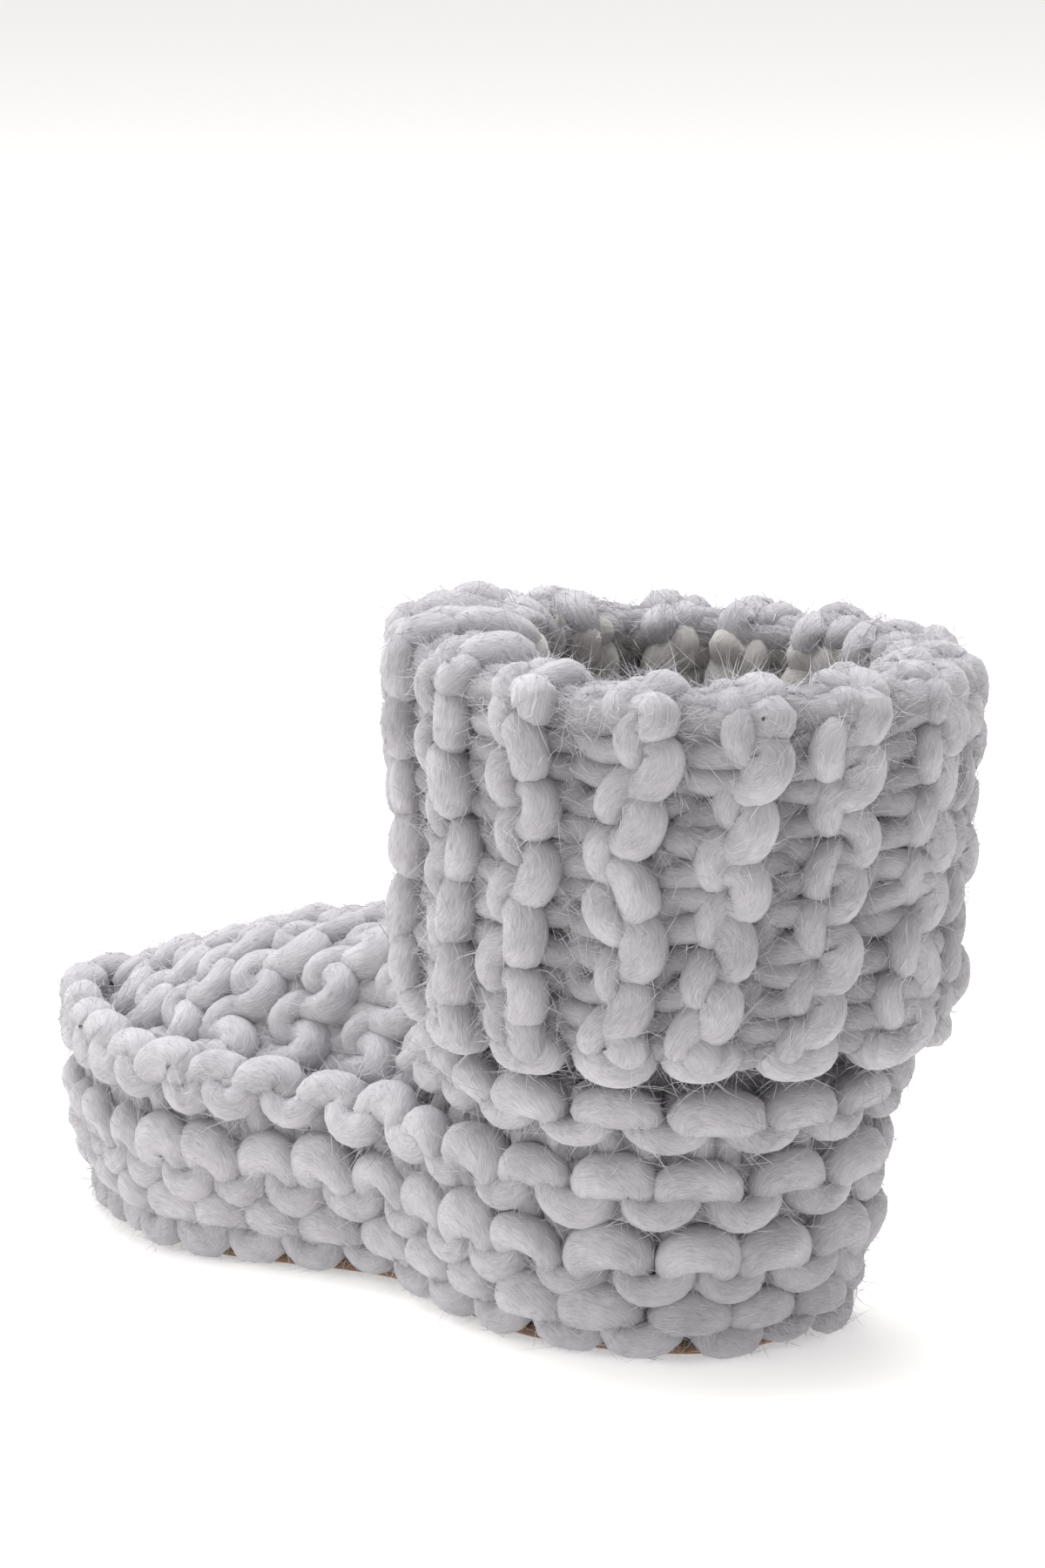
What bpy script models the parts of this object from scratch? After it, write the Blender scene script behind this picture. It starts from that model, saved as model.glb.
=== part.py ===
"""Hand-knit bootie slipper for a small child, one right shoe, in metres.

The toe points along -Y, the heel along +Y, +X is the wearer's left (the arch side of a
right foot) and +Z is up. The origin is on the floor under the middle of the shoe.

Four pieces: a flat suede outsole, a fleece insole on it, the knitted upper (one hollow
solid, foot and shaft, open at the collar and underneath) and the folded cuff, which hooks
over the top of the shaft. The garter ridges of the knit are waves in the walls.
"""
import bpy
import numpy as np

MM = 0.001

# Foot of the knit, measured outside
FOOT_LENGTH = 129.5 * MM
HEEL_WIDTH = 60.5 * MM
WAIST_WIDTH = 47 * MM
BALL_WIDTH = 62 * MM
TOE_WIDTH = 49.5 * MM
ARCH_HOLLOW = 3.2 * MM        # how far the inner side pulls in at the waist
HEEL_SEAM_HEIGHT = 21.6 * MM  # crest of the third garter ridge at the heel
TOE_SEAM_HEIGHT = 28.0 * MM   # crest of the same ridge at the toe, where it borders the vamp
INSTEP_HEIGHT = 45 * MM       # top of the vamp, where the shaft begins
VAMP_BACK = 3.3 * MM          # place along Y where the vamp ends

# The knit
KNIT_WALL = 5.6 * MM
RIDGE_DEPTH = 1.8 * MM        # crest to valley of a garter ridge
VAMP_RIDGE_PITCH = 9.6 * MM

# Shaft and cuff, measured outside the cuff
CUFF_WIDTH = 67 * MM
CUFF_FRONT = 4.7 * MM         # place along Y of the cuff's front face
CUFF_BACK = 76.3 * MM         # place along Y of its back face, past the heel
CUFF_LEAN = 1.2 * MM          # how far its top lies behind its bottom edge
CUFF_WALL = 5.6 * MM
CUFF_BOTTOM = 38 * MM
RIM_HEIGHT = 86.5 * MM
RIM_RISE = 4.0 * MM           # the rim stands this much higher at the front of the arch side
RIM_ROLL = 7 * MM             # and its roll reaches this much further inward there
NECK_BACK = 64.8 * MM         # place along Y of the neck's back, under the cuff
CUFF_RIDGES = 15
RIDGE_PLACE = 0.2             # share of a ridge by which the first lies off the cuff's back
ROUNDNESS = 0.95              # 1 is an ellipse, less is squarer
HEEL_ROUNDNESS = 0.66         # the same for the foot's outline at its two ends
TOE_ROUNDNESS = 0.50

# Sole
SOLE_THICKNESS = 1.5 * MM
SOLE_EDGE = 0.5 * MM          # rounding of the suede's edge
SOLE_INSET = 7.2 * MM         # from the knit's outline to the edge of the suede
FLEECE_THICKNESS = 4.6 * MM
FLEECE_EDGE = 0.4             # share of its thickness that its upper edge is rounded by
CLEARANCE = 0.3 * MM          # between pieces that touch

# Steps of the grids
HEEL_STEPS = 24
VAMP_ROWS = 36
VAMP_ACROSS = 12
TOE_CROWDING = 1.6            # power by which the rows crowd towards the toe's tip
STEPS_PER_RIDGE = 4
STEPS_PER_CUFF_RIDGE = 6

# Half widths of the foot's outline: share of the length from the heel, and width there
PLAN = (
    (0.00, HEEL_WIDTH),
    (0.17, HEEL_WIDTH),
    (0.46, WAIST_WIDTH),
    (0.74, BALL_WIDTH),
    (1.00, TOE_WIDTH),
)
ARCH_PLACE = 0.50             # share of the length from the heel
ARCH_REACH = 0.16
SEAM_CURVE = 1.5              # power of the share along the foot by which the ridges climb

# Side wall from its bottom edge up: garter ridge, share of the seam's height at the heel
# and at the toe, share of the knit's wall by which the outline pulls in at the heel and
# in front, where the last rows turn in behind the seam ridge to meet the vamp
SIDE_ROWS = (
    (0.00, 0.00, 0.00, 1.00, 1.00),
    (0.50, 0.11, 0.14, 0.62, 0.66),
    (1.00, 0.28, 0.27, 0.36, 0.38),
    (1.50, 0.49, 0.42, 0.20, 0.20),
    (2.00, 0.75, 0.70, 0.03, 0.08),
    (2.50, 1.00, 1.00, -0.12, 0.05),
    (2.75, 1.11, 1.07, -0.12, 0.40),
    (3.00, 1.22, 1.06, -0.05, 0.85),
)

# Crest of the vamp along its middle: share of its length from the toe, and share of the
# way from the seam's height at the toe to the instep
VAMP_CREST = (
    (0.00, 0.11),
    (0.12, 0.28),
    (0.35, 0.62),
    (0.65, 0.92),
    (1.00, 1.00),
)
VAMP_FLATNESS = 3.0           # power of the vamp's arch from side to side
VAMP_BOW = 6 * MM             # how far the middle of a vamp row lies behind its ends
SHAFT_CORNER_ANGLE = 2.5      # angle round the shaft that faces the vamp's corner, radians
HEM_CURVE = 4                 # power by which the cuff's edge lifts towards the front
NECK_FADE = 0.35              # share of the shaft's height where it reaches its full oval
HEEL_BULGE = 0.18             # share of the wall by which the heel bulges under the neck
RIM_RISE_ANGLE = 2.5          # radians round the shaft, and how far the rise reaches
RIM_RISE_SPREAD_ANGLE = 0.9
SHAFT_SHARES = (0, 0.12, 0.35, 0.65, 1)

# Cuff from its bottom edge over the rim: share of the cuff's height, and share of its wall
# by which the outer face stands out
CUFF_ROWS = (
    (0.00, -0.42),
    (0.05, -0.26),
    (0.35, -0.10),
    (0.68, 0.10),
    (0.84, 0.20),
    (0.93, 0.12),
    (0.98, -0.42),
    (1.00, -1.05),
    (0.975, -1.70),
    (0.92, -2.05),
)
CUFF_RIDGE_REACH = 1.3        # share of the wall over the rim where the ridges fade out

# Degrees between faces past which an edge is shaded as sharp
SUEDE_CREASE_ANGLE = 30
FLEECE_CREASE_ANGLE = 50
KNIT_CREASE_ANGLE = 60

SUEDE_COLOUR = (0.42, 0.27, 0.16)
FLEECE_COLOUR = (0.80, 0.74, 0.64)
WOOL_COLOUR = (0.60, 0.60, 0.64)


def through(places, table, column=1):
    """Smooth curve through a table's rows: cubic pieces with the slopes of the neighbours."""
    rows = np.array(table, float)
    x, y = rows[:, 0], rows[:, column]
    slope = np.gradient(y, x)
    places = np.clip(np.asarray(places, float), x[0], x[-1])
    i = np.clip(np.searchsorted(x, places, side="right") - 1, 0, len(x) - 2)
    step = x[i + 1] - x[i]
    t = (places - x[i]) / step
    start = (2 * t**3 - 3 * t**2 + 1) * y[i] + (t**3 - 2 * t**2 + t) * step * slope[i]
    end = (3 * t**2 - 2 * t**3) * y[i + 1] + (t**3 - t**2) * step * slope[i + 1]
    return start + end


def foot_turns():
    """Angles round the foot's outline: 0 at the heel, pi at the toe, and +X before pi.

    The heel part has even steps from vamp corner to vamp corner. The front part has steps
    that are nearly even along the foot, so that the vamp's rows can follow its ridges.
    """
    corner = corner_turn()
    heel = np.linspace(-corner, corner, HEEL_STEPS + 1)[:-1]
    share = np.arange(VAMP_ROWS + 1) / VAMP_ROWS
    left = 1 - (1 - share_at(corner)) * (1 - share) ** TOE_CROWDING
    front = np.arccos(1 - 2 * np.clip(left, 0, 1))
    mirrored = 2 * np.pi - front[1:-1][::-1]
    return np.concatenate([heel, front, mirrored])


def share_at(turn):
    """Share of the foot's length from the heel at an angle of the outline."""
    return (1 - np.cos(turn)) / 2


def corner_turn():
    """Angle of the outline where the vamp ends."""
    return np.arccos(2 * VAMP_BACK / FOOT_LENGTH)


def outline(turn, inset):
    """Plan of the foot, pulled in by an inset: x and y at an angle.

    y runs as a cosine from heel to toe. x is the half width there times a power of the
    sine, and the arch side is hollowed by a bell at the waist.
    """
    share = share_at(turn)
    half = through(share, PLAN) / 2 - inset
    y = (FOOT_LENGTH / 2 - inset) * np.cos(turn)
    side = np.sin(turn)
    hollow = ARCH_HOLLOW * np.exp(-(((share - ARCH_PLACE) / ARCH_REACH) ** 2)) * (side > 0)
    roundness = HEEL_ROUNDNESS + (TOE_ROUNDNESS - HEEL_ROUNDNESS) * share
    x = half * np.sign(side) * np.abs(side) ** roundness - hollow * np.abs(side)
    return x, y


def knit_bottom():
    """Height of the knit's lower edge, on the suede."""
    return SOLE_THICKNESS + CLEARANCE


def side_point(turn, ridge, depth):
    """Point of the side wall at an angle, at a garter ridge's number, under its surface.

    The height goes from the heel's to the toe's with a power of the share along the foot.
    A wave of one ridge's length stands out from the outer face, and none from the inner.
    """
    share = share_at(turn)
    rise = share**SEAM_CURVE
    heel = knit_bottom() + through(ridge, SIDE_ROWS, 1) * (HEEL_SEAM_HEIGHT - knit_bottom())
    toe = knit_bottom() + through(ridge, SIDE_ROWS, 2) * (TOE_SEAM_HEIGHT - knit_bottom())
    z = heel + (toe - heel) * rise
    wave = -np.cos(2 * np.pi * ridge) * RIDGE_DEPTH / 2 * (depth == 0)
    reached = np.clip(share / share_at(corner_turn()), 0, 1)
    front = reached**2 * (3 - 2 * reached)
    at_heel, at_toe = (through(ridge, SIDE_ROWS, column) for column in (3, 4))
    pull = KNIT_WALL * (at_heel + (at_toe - at_heel) * front)
    x, y = outline(turn, pull - wave + depth)
    lowered = depth * np.clip(ridge - 2, 0, 1)
    return np.stack([x, y, z - lowered + 0 * x], -1)


def vamp_rows(border, depth):
    """Vamp between the two sides of the wall's top edge: rows across, from back to toe.

    Each row joins a point of the border on +X to its mirror point. Its height is the
    border's plus an arch, one less a power of the share across, and waves along the foot
    make the ridges.
    """
    left = border[HEEL_STEPS:HEEL_STEPS + VAMP_ROWS]
    right = border[-np.arange(VAMP_ROWS) % len(border)]
    across = np.sin(np.linspace(-np.pi / 2, np.pi / 2, VAMP_ACROSS + 1))[None, :, None]
    rows = (left + right)[:, None] / 2 - across * (left - right)[:, None] / 2
    arch = 1 - np.abs(across[..., 0]) ** VAMP_FLATNESS
    along = (rows[:, 0, 1] + FOOT_LENGTH / 2) / (VAMP_BACK + FOOT_LENGTH / 2)
    crest = TOE_SEAM_HEIGHT + through(along, VAMP_CREST) * (INSTEP_HEIGHT - TOE_SEAM_HEIGHT)
    climb = np.maximum(crest - depth - rows[:, 0, 2], 0)
    from_toe = rows[:, 0, 1] + FOOT_LENGTH / 2
    wave = np.cos(2 * np.pi * from_toe / VAMP_RIDGE_PITCH) * RIDGE_DEPTH / 2 * (depth == 0)
    rows[..., 2] += (climb + wave)[:, None] * arch
    rows[..., 1] += VAMP_BOW * along[:, None] * arch
    return rows


def shaft_centre(height):
    """Middle of the shaft along Y at a height."""
    rise = (height - CUFF_BOTTOM) / (RIM_HEIGHT - CUFF_BOTTOM)
    return (CUFF_FRONT + CUFF_BACK) / 2 + CUFF_LEAN * rise


def cuff_hem(turn):
    """Height of the cuff's bottom edge: level round the heel, and lifted by the vamp."""
    return CUFF_BOTTOM + hem_lift() * np.clip(-np.cos(turn), 0, 1) ** HEM_CURVE


def hem_lift():
    """How far the vamp's ridge lifts the cuff's edge at the front."""
    return INSTEP_HEIGHT + RIDGE_DEPTH / 2 + CLEARANCE - CUFF_BOTTOM


def rim_bell(turn):
    """Bell round the shaft, one at the front of the arch side, where the rim is fullest."""
    away = np.angle(np.exp(1j * (turn - RIM_RISE_ANGLE)))
    return np.exp(-((away / RIM_RISE_SPREAD_ANGLE) ** 2))


def rim_height(turn):
    """Height of the rolled rim: level, with a soft rise where it is fullest."""
    return RIM_HEIGHT + RIM_RISE * rim_bell(turn)


def shaft_loop(turn, height, inset):
    """Rounded oval of the cuff and shaft at a height, pulled in by an inset."""
    half_long = (CUFF_BACK - CUFF_FRONT) / 2 - inset
    half_wide = CUFF_WIDTH / 2 - inset
    x = half_wide * np.sign(np.sin(turn)) * np.abs(np.sin(turn)) ** ROUNDNESS
    y = shaft_centre(height) + half_long * np.cos(turn)
    return np.stack([x, y, height + 0 * x], -1)


def shaft_turns():
    """Angles round the shaft that face the heel part of the foot and then the vamp."""
    back = np.linspace(-SHAFT_CORNER_ANGLE, SHAFT_CORNER_ANGLE, HEEL_STEPS + 1)
    front = np.linspace(SHAFT_CORNER_ANGLE, 2 * np.pi - SHAFT_CORNER_ANGLE, VAMP_ACROSS + 1)[1:-1]
    return np.concatenate([back, front])


def shaft_row(share, depth):
    """Loop of the shaft, from the neck under the cuff's edge (0) to its top (1).

    It is the cuff's oval less the cuff's wall. At the neck its back is pulled in to the
    heel, and that fades out on the way up.
    """
    turn = shaft_turns()
    inset = CUFF_WALL + CLEARANCE + depth
    neck = cuff_hem(turn) - CLEARANCE - depth * np.clip(-np.cos(turn), 0, 1)
    top = rim_height(turn) - CUFF_WALL - CLEARANCE
    row = shaft_loop(turn, neck + (top - neck) * share, inset)
    pulled = CUFF_BACK - CUFF_WALL - CLEARANCE - NECK_BACK
    fade = np.clip(1 - share / NECK_FADE, 0, 1) ** 2
    row[:, 1] -= pulled * fade * np.clip(np.cos(turn), 0, 1)
    return row


def heel_band(edge, neck, depth):
    """Rows from the foot's top edge to the neck, bulged by the fourth ridge at the heel."""
    turn = shaft_turns()
    behind = np.clip(np.cos(turn) - np.cos(SHAFT_CORNER_ANGLE), 0, 1)[:, None]
    outward = np.stack([np.sin(turn), np.cos(turn), 0 * turn], -1)
    bulge = KNIT_WALL * HEEL_BULGE + RIDGE_DEPTH * (depth == 0)
    rows = []
    for step in range(1, STEPS_PER_RIDGE):
        share = step / STEPS_PER_RIDGE
        straight = edge + (neck - edge) * share
        rows.append(straight + outward * behind * bulge * np.sin(np.pi * share))
    return rows


class Surface:
    """Vertices and faces of one solid, gathered patch by patch."""

    def __init__(self):
        self.points = []
        self.faces = []

    def add(self, points):
        """Keep points and give back their numbers in the same arrangement."""
        points = np.asarray(points, float)
        start = sum(len(p) for p in self.points)
        self.points.append(points.reshape(-1, 3))
        return start + np.arange(points[..., 0].size).reshape(points.shape[:-1])

    def band(self, lower, upper, closed=True):
        """Faces between two rows of as many points; repeated points make triangles."""
        count = len(lower) if closed else len(lower) - 1
        for i in range(count):
            j = (i + 1) % len(lower)
            corners = [int(c) for c in (lower[i], upper[i], upper[j], lower[j])]
            face = [c for k, c in enumerate(corners) if c != corners[k - 1]]
            if len(face) > 2:
                self.faces.append(face)

    def cap(self, loop, upward):
        """Flat lid over a foot outline, as strips between its two sides."""
        half = len(loop) // 2
        middle = HEEL_STEPS // 2
        turned = np.roll(loop, -middle)
        for i in range(half):
            face = [turned[i], turned[i + 1], turned[-i - 1], turned[-i % len(loop)]]
            face = [int(c) for k, c in enumerate(face) if c != face[k - 1]]
            self.faces.append(face[::-1] if upward else face)


def knit_surface(solid, depth):
    """Outer or inner face of the upper. Gives back its bottom edge and its top edge."""
    turns = foot_turns()
    steps = STEPS_PER_RIDGE if depth == 0 else 2
    ridges = np.linspace(0, 3, 3 * steps + 1)
    points = [side_point(turns, ridge, depth) for ridge in ridges]
    loops = [solid.add(row) for row in points]
    for lower, upper in zip(loops[:-1], loops[1:]):
        solid.band(lower, upper)

    border, edge = points[-1], loops[-1]
    rows = vamp_rows(border, depth)
    inner = solid.add(rows[:, 1:-1])
    count = len(border)
    left = edge[HEEL_STEPS:HEEL_STEPS + VAMP_ROWS]
    right = edge[-np.arange(VAMP_ROWS) % count]
    toe = edge[HEEL_STEPS + VAMP_ROWS]
    strips = [np.concatenate([[left[i]], inner[i], [right[i]]]) for i in range(VAMP_ROWS)]
    strips.append(np.full(VAMP_ACROSS + 1, toe))
    for back, front in zip(strips[:-1], strips[1:]):
        solid.band(front, back, closed=False)

    ring = np.concatenate([edge[:HEEL_STEPS + 1], strips[0][1:-1]])
    foot_top = np.concatenate([border[:HEEL_STEPS + 1], rows[0, 1:-1]])
    neck = shaft_row(0, depth)
    band = heel_band(foot_top, neck, depth)
    for row in band + [shaft_row(share, depth) for share in SHAFT_SHARES]:
        upper = solid.add(row)
        solid.band(ring, upper)
        ring = upper
    return loops[0], ring


def make_upper():
    """Knitted foot and shaft: outer and inner faces joined at the sole and at the collar."""
    solid = Surface()
    bottom_out, top_out = knit_surface(solid, 0)
    outer = len(solid.faces)
    bottom_in, top_in = knit_surface(solid, KNIT_WALL)
    solid.faces[outer:] = [face[::-1] for face in solid.faces[outer:]]
    solid.band(bottom_in, bottom_out)
    solid.band(top_out, top_in)
    return solid


def make_cuff():
    """Folded cuff: its outer face, the rolled rim, and the faces against the shaft."""
    solid = Surface()
    count = CUFF_RIDGES * STEPS_PER_CUFF_RIDGE
    first = RIDGE_PLACE * 2 * np.pi / CUFF_RIDGES
    turn = first + np.arange(count) * 2 * np.pi / count
    wave = np.cos(CUFF_RIDGES * (turn - first)) * RIDGE_DEPTH / 2
    roll = RIM_ROLL * rim_bell(turn)
    loops = []
    hem = cuff_hem(turn)
    for share, proud in CUFF_ROWS:
        ridged = np.clip(CUFF_RIDGE_REACH + proud, 0, 1)
        inset = -proud * CUFF_WALL - wave * ridged + roll * np.clip(-1 - proud, 0, 1)
        loops.append(shaft_loop(turn, hem + share * (rim_height(turn) - hem), inset))
    shaft_top = rim_height(turn) - CUFF_WALL
    inside = 2 * CUFF_WALL + CLEARANCE + roll
    loops.append(shaft_loop(turn, shaft_top, inside))
    loops.append(shaft_loop(turn, shaft_top, CUFF_WALL))
    loops.append(shaft_loop(turn, (hem + shaft_top) / 2, CUFF_WALL))
    loops.append(shaft_loop(turn, hem, CUFF_WALL))
    numbers = [solid.add(loop) for loop in loops]
    for lower, upper in zip(numbers, numbers[1:] + numbers[:1]):
        solid.band(lower, upper)
    return solid


def make_pad(levels):
    """Flat pad with the foot's outline: rows of height and inset, and a lid at each end."""
    solid = Surface()
    turns = foot_turns()
    loops = []
    for height, inset in levels:
        x, y = outline(turns, inset)
        loops.append(solid.add(np.stack([x, y, height + 0 * x], -1)))
    for lower, upper in zip(loops[:-1], loops[1:]):
        solid.band(lower, upper)
    solid.cap(loops[0], upward=False)
    solid.cap(loops[-1], upward=True)
    return solid


def make_outsole():
    """Suede sole, flat underneath, with a slightly rounded edge."""
    return make_pad((
        (0, SOLE_INSET + SOLE_EDGE),
        (SOLE_EDGE, SOLE_INSET),
        (SOLE_THICKNESS - SOLE_EDGE, SOLE_INSET),
        (SOLE_THICKNESS, SOLE_INSET + SOLE_EDGE),
    ))


def make_insole():
    """Fleece pad inside the knit, with a soft upper edge."""
    wall = KNIT_WALL * (1 + SIDE_ROWS[0][3]) + CLEARANCE
    bottom = SOLE_THICKNESS + CLEARANCE
    soft = FLEECE_THICKNESS * FLEECE_EDGE
    return make_pad((
        (bottom, wall),
        (bottom + FLEECE_THICKNESS - soft, wall),
        (bottom + FLEECE_THICKNESS, wall + soft),
    ))


def material(name, colour, roughness):
    """Plain Principled material."""
    made = bpy.data.materials.new(name)
    made.use_nodes = True
    shader = made.node_tree.nodes["Principled BSDF"]
    shader.inputs["Base Color"].default_value = (*colour, 1)
    shader.inputs["Roughness"].default_value = roughness
    shader.inputs["Metallic"].default_value = 0
    return made


def build(name, solid, origin, colour, roughness, crease):
    """Turn a surface into a named object with its own material."""
    mesh = bpy.data.meshes.new(name)
    mesh.from_pydata((np.concatenate(solid.points) - origin).tolist(), [], solid.faces)
    mesh.validate()
    mesh.shade_smooth()
    mesh.set_sharp_from_angle(angle=np.radians(crease))
    mesh.materials.append(material(name, colour, roughness))
    made = bpy.data.objects.new(name, mesh)
    bpy.context.scene.collection.objects.link(made)
    return made


def middle_of(solids):
    """Middle of the solids' common box in plan, and its floor."""
    points = np.concatenate([p for solid in solids for p in solid.points])
    low, high = points.min(axis=0), points.max(axis=0)
    return np.array([(low[0] + high[0]) / 2, (low[1] + high[1]) / 2, low[2]])


def main():
    for old in list(bpy.data.objects):
        bpy.data.objects.remove(old, do_unlink=True)
    solids = (make_outsole(), make_insole(), make_upper(), make_cuff())
    origin = middle_of(solids)
    outsole, insole, upper, cuff = solids
    build("outsole", outsole, origin, SUEDE_COLOUR, 0.95, SUEDE_CREASE_ANGLE)
    build("insole", insole, origin, FLEECE_COLOUR, 1.0, FLEECE_CREASE_ANGLE)
    build("upper", upper, origin, WOOL_COLOUR, 1.0, KNIT_CREASE_ANGLE)
    build("cuff", cuff, origin, WOOL_COLOUR, 1.0, KNIT_CREASE_ANGLE)


main()
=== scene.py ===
"""Looks of the hand-knit bootie slipper: thick grey wool in garter stitch on a suede sole.

Every course of yarn is a tube swept along the path that the yarn takes in the knit. The
paths lie on smooth surfaces that repeat the solids' own functions, so each knitted piece
keeps the form of the solid that it stands for.
"""

import bpy
import numpy as np
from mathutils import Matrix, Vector


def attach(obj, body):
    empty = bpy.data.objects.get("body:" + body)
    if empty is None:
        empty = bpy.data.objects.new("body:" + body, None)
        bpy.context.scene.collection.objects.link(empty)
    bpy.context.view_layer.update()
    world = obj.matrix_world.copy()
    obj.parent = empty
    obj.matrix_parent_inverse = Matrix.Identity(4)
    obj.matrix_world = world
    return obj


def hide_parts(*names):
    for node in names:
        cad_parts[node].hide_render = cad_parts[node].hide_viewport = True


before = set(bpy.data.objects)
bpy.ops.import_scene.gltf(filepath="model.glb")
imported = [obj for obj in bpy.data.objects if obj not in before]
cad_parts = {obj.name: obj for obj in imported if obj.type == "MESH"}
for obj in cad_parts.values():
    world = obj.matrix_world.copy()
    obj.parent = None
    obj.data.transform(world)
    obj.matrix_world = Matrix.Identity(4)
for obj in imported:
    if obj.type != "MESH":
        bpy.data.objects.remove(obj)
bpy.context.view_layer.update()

MM = 0.001
TAU = 2 * np.pi

# The solids' named sizes, repeated
SHIFT_X = -0.295 * MM         # place of the shared frame's origin in the foot's own frame
SHIFT_Y = 6.913 * MM
FOOT_LENGTH = 129.5 * MM
HEEL_WIDTH = 60.5 * MM
WAIST_WIDTH = 47 * MM
BALL_WIDTH = 62 * MM
TOE_WIDTH = 49.5 * MM
ARCH_HOLLOW = 3.2 * MM
HEEL_SEAM_HEIGHT = 21.6 * MM
TOE_SEAM_HEIGHT = 28.0 * MM
INSTEP_HEIGHT = 45 * MM
VAMP_BACK = 3.3 * MM
KNIT_WALL = 5.6 * MM
RIDGE_DEPTH = 1.8 * MM
VAMP_RIDGE_PITCH = 9.6 * MM
CUFF_WIDTH = 67 * MM
CUFF_FRONT = 4.7 * MM
CUFF_BACK = 76.3 * MM
CUFF_LEAN = 1.2 * MM
CUFF_WALL = 5.6 * MM
CUFF_BOTTOM = 38 * MM
RIM_HEIGHT = 86.5 * MM
RIM_RISE = 4.0 * MM
RIM_ROLL = 7 * MM
NECK_BACK = 64.8 * MM
CUFF_RIDGES = 15
RIDGE_PLACE = 0.2
ROUNDNESS = 0.95
HEEL_ROUNDNESS = 0.66
TOE_ROUNDNESS = 0.50
SOLE_THICKNESS = 1.5 * MM
SOLE_INSET = 7.2 * MM
FLEECE_THICKNESS = 4.6 * MM
CLEARANCE = 0.3 * MM
ARCH_PLACE = 0.50
ARCH_REACH = 0.16
SEAM_CURVE = 1.5
VAMP_FLATNESS = 3.0
VAMP_BOW = 6 * MM
SHAFT_CORNER = 2.5
HEM_CURVE = 4
HEEL_BULGE = 0.18
RIM_RISE_TURN = 2.5
RIM_RISE_REACH = 0.9

# Foot's outline: share of the length from the heel, and width there
PLAN = (
    (0.00, HEEL_WIDTH),
    (0.17, HEEL_WIDTH),
    (0.46, WAIST_WIDTH),
    (0.74, BALL_WIDTH),
    (1.00, TOE_WIDTH),
)
# Side wall: garter ridge, share of the seam's height at heel and toe, pull-in at both
SIDE_ROWS = (
    (0.00, 0.00, 0.00, 1.00, 1.00),
    (0.50, 0.11, 0.14, 0.62, 0.66),
    (1.00, 0.28, 0.27, 0.36, 0.38),
    (1.50, 0.49, 0.42, 0.20, 0.20),
    (2.00, 0.75, 0.70, 0.03, 0.08),
    (2.50, 1.00, 1.00, -0.12, 0.05),
    (2.75, 1.11, 1.07, -0.12, 0.40),
    (3.00, 1.22, 1.06, -0.05, 0.85),
)
# Vamp's crest: share of its length from the toe, share of its climb
VAMP_CREST = (
    (0.00, 0.11),
    (0.12, 0.28),
    (0.35, 0.62),
    (0.65, 0.92),
    (1.00, 1.00),
)
# Collar's profile from the hem up, over the rim and down inside: share of the height, and
# share of the wall by which it stands out
COLLAR_ROWS = (
    (0.00, -0.42),
    (0.05, -0.26),
    (0.35, -0.10),
    (0.68, 0.10),
    (0.84, 0.20),
    (0.93, 0.12),
    (0.98, -0.42),
    (1.00, -1.05),
    (0.975, -1.70),
    (0.92, -2.05),
    (0.70, -2.07),
    (0.40, -2.07),
    (0.08, -2.07),
)
RIM_ROW = 7                   # top of the rim
LIP_ROW = 9                   # row where the cuff's solid ends and the shaft's begins
LEAN_TURN = 0.15              # place round the cuff and reach of its leaning ridges, radians
LEAN_REACH = 0.7
LEAN_THERE = 0.40             # of a ridge at the hem, and the lean of all ridges
LEAN_OF_ALL = 0.15
ROLL_FADE = 14 * MM           # length inside the shaft over which the rim's roll ends

# The knit
SIDE_STITCHES = 34            # round the foot: what the two lengths give, as a whole number
HEEL_STITCH = 11.7 * MM       # length of a stitch round the heel, and in front of the waist
FRONT_STITCH = 8.2 * MM
STITCH_EASE = (0.36, 0.60)    # shares of the foot between which the one becomes the other
SIDE_RIDGES = (0.5, 1.5, 2.5)
SIDE_PITCH = 9 * MM           # about as far as from ridge to ridge, to place the rings
SIDE_REACH = (0.02, 4.0)      # ridge numbers at which the side's yarn ends
HEEL_RIDGE = 3.5              # the fourth ridge, round the heel only
HEEL_BAND = 0.77              # share of the band up to the hem that its ridge fills
SEAM_EASE = 2.6               # ridge number above which loops in front stop short of the
SEAM_GIVE = 0.4               # seam's edge, and how far they still go
RIDGE_STAGGER = 0.07          # of a stitch, from each ridge to the next
VAMP_STITCH = 8.0 * MM        # length of a stitch across the vamp
VAMP_FEWEST = 3               # stitches from side to side at the toe's tip
VAMP_OVERLAP = 1.10           # how far the vamp's courses run under the seam ridges
VAMP_EDGE_LIFT = 0.8 * MM     # and how far they rise to meet them
VAMP_SINK = 0.8 * MM          # how far the yarn lies under the solid's crest
TOE_SINK = 1.2 * MM           # how much further at the toe's tip
TOE_SINK_REACH = 1.5          # and over how many ridges
VAMP_RIDGES = 8
TOE_START = 0.60              # ridge number where the vamp is wide enough for a course
VAMP_END = 7.6                # and ridge numbers where its yarn, strands and skin end
LINING_END = 7.4
VAMP_SKIN_END = 7.3
VAMP_LAST_NORMAL = 0.97       # place across from which its normals stay the same
LINING_PLACES = (-0.93, -0.80, 0.80, 0.93)   # of the strands that run under its edges
LINING_RINGS = 90
LINING_RADIUS = 2.2 * MM
LINING_DEPTH = 4.6 * MM
LINING_HEIGHT = -2.8 * MM     # height by which they are shaded
CUFF_STITCH = 7.3 * MM        # length of a stitch along the cuff's ridges
CUFF_PITCH = 14.6 * MM        # from ridge to ridge round it
COURSE_SHIFT = 0.22           # share of a ridge between its crest and each of its courses
STEPS_PER_STITCH = 26
YARN_SIDES = 12
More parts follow.
